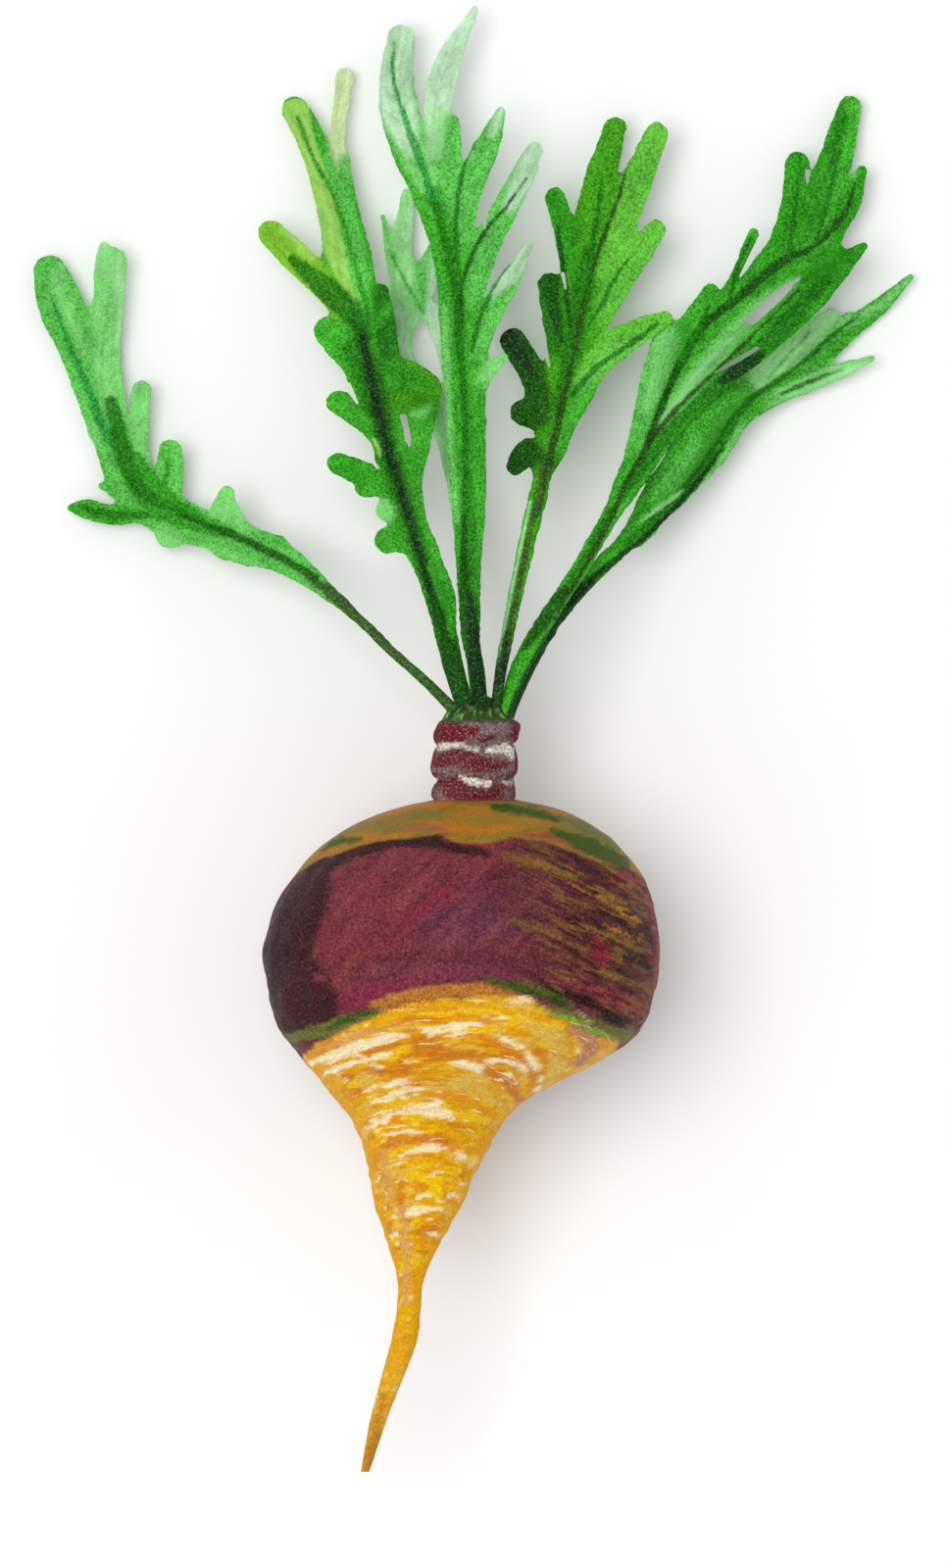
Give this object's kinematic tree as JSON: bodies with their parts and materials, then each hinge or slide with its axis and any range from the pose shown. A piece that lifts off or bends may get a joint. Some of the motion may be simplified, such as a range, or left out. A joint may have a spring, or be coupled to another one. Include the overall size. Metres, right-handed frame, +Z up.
{
  "type": "swede",
  "caption": "Whole swede lying on its side: round purple and yellow root with a long crooked taproot, ringed neck and a fan of lobed green leaves.",
  "frame": {"origin": "centre of the small flat spot under the bulb, on which the swede rests", "axes": "+Y from the taproot towards the leaf tips, +Z up from the surface it lies on"},
  "size_m": [0.2473, 0.4109, 0.1095],
  "materials": {
    "root_skin": "matt vegetable skin, purple above and golden yellow below",
    "leaf_green": "soft satin leaf",
    "leaf_dark_green": "soft satin leaf",
    "leaf_emerald": "soft satin leaf",
    "leaf_vivid_green": "soft satin leaf",
    "leaf_pale": "soft satin leaf"
  },
  "bodies": {
    "root": {"swede_root": "root_skin", "leaf_1": "leaf_green", "leaf_2": "leaf_dark_green", "leaf_3": "leaf_emerald", "leaf_4": "leaf_vivid_green", "leaf_5": "leaf_vivid_green", "leaf_6": "leaf_vivid_green", "leaf_7": "leaf_pale"}
  },
  "joints": []
}
